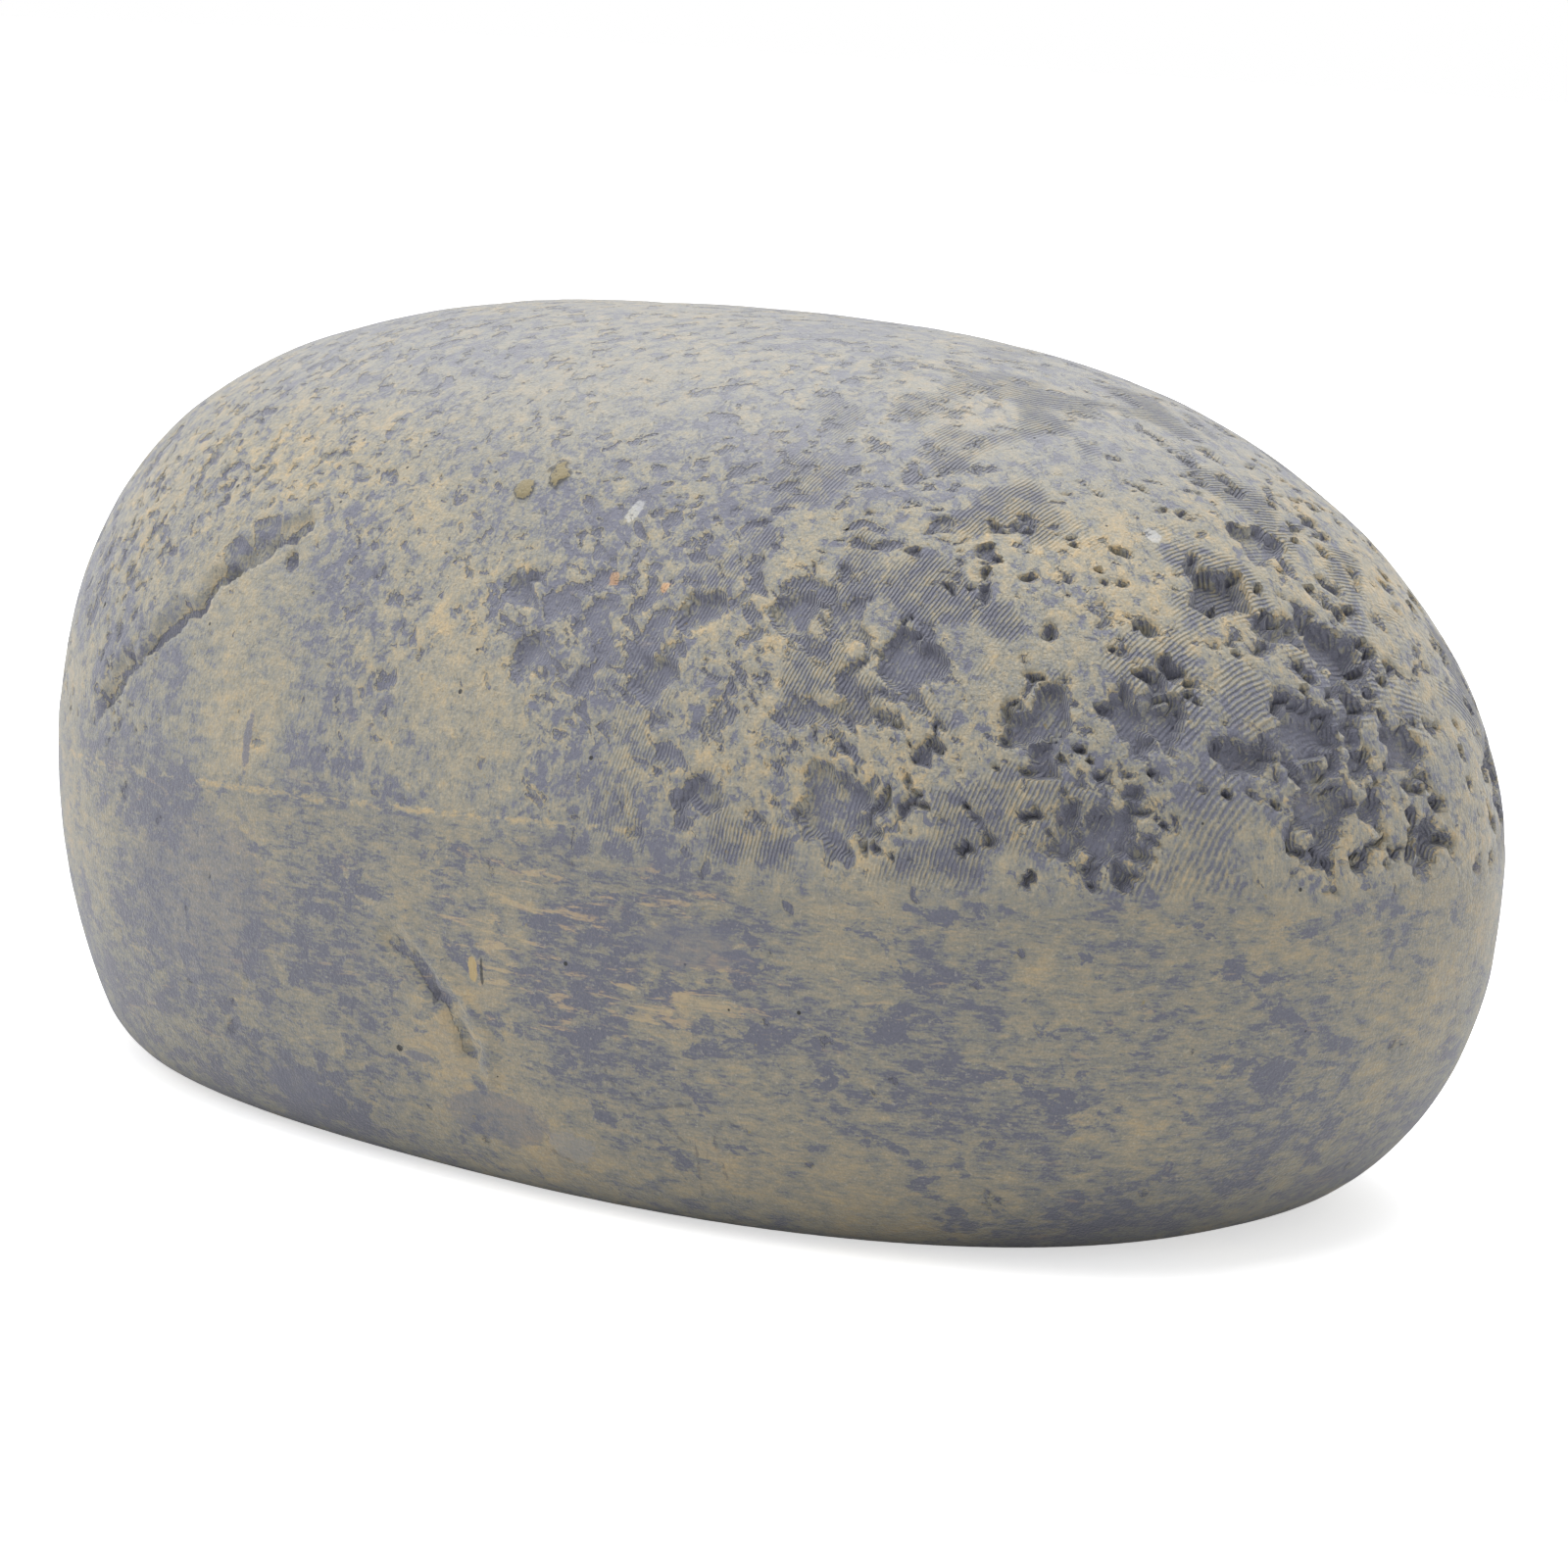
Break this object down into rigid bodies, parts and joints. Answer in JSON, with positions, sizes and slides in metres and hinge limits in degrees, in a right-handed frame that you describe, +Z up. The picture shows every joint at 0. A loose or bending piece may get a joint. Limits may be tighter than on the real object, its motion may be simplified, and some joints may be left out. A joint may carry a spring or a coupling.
{
  "type": "hide a key rock",
  "caption": "Cast resin garden stone with a key tray let into its flat underside, closed by a sliding door that runs out of the rear end.",
  "frame": {"origin": "centre of the stone's bounding box in plan, on its flat base", "axes": "+X along the stone towards its tapered nose, +Z up from the flat base"},
  "size_m": [0.101, 0.064, 0.0505],
  "materials": {
    "cast_resin": "matte",
    "tray_plastic": "matte",
    "door_plastic": "satin",
    "screw_steel": "satin"
  },
  "bodies": {
    "stone": {"stone_casting": "cast_resin", "key_tray": "tray_plastic", "door_bezel": "tray_plastic", "tray_screws": "screw_steel"},
    "door": {"sliding_door": "door_plastic"}
  },
  "joints": [
    {"name": "door_slide", "type": "slide", "parent": "stone", "child": "door", "axis": [-1, 0, 0], "range_m": [0, 0.056]}
  ]
}
